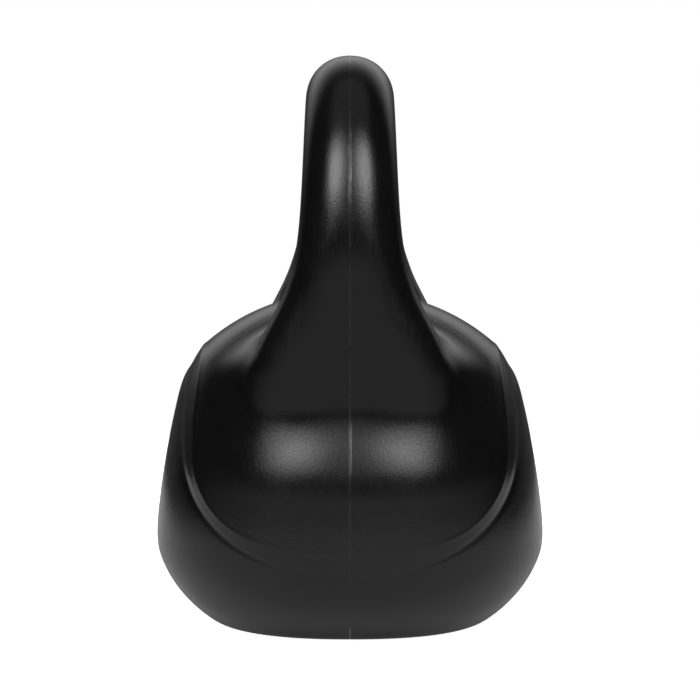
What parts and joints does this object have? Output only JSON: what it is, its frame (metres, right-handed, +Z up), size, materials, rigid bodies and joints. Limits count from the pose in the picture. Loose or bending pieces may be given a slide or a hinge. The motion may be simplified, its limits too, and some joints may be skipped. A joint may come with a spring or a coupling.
{
  "type": "kettlebell",
  "caption": "Free-standing kettlebell: a black moulded plastic shell filled with a cast ballast, with a looped two-hand handle and a flat base.",
  "frame": {"origin": "middle of the flat base, on the surface that the kettlebell stands on", "axes": "+Z up, X along the grip, Y through the front and back panels; the seam between the half shells lies in the plane y = 0"},
  "size_m": [0.1756, 0.1544, 0.226],
  "materials": {
    "shell_plastic": "satin",
    "ballast": "matte",
    "bar_steel": "satin",
    "plug_plastic": "satin"
  },
  "bodies": {
    "root": {"shell_front": "shell_plastic", "shell_back": "shell_plastic", "ballast_core": "ballast", "handle_bar": "bar_steel", "fill_plug": "plug_plastic"}
  },
  "joints": []
}
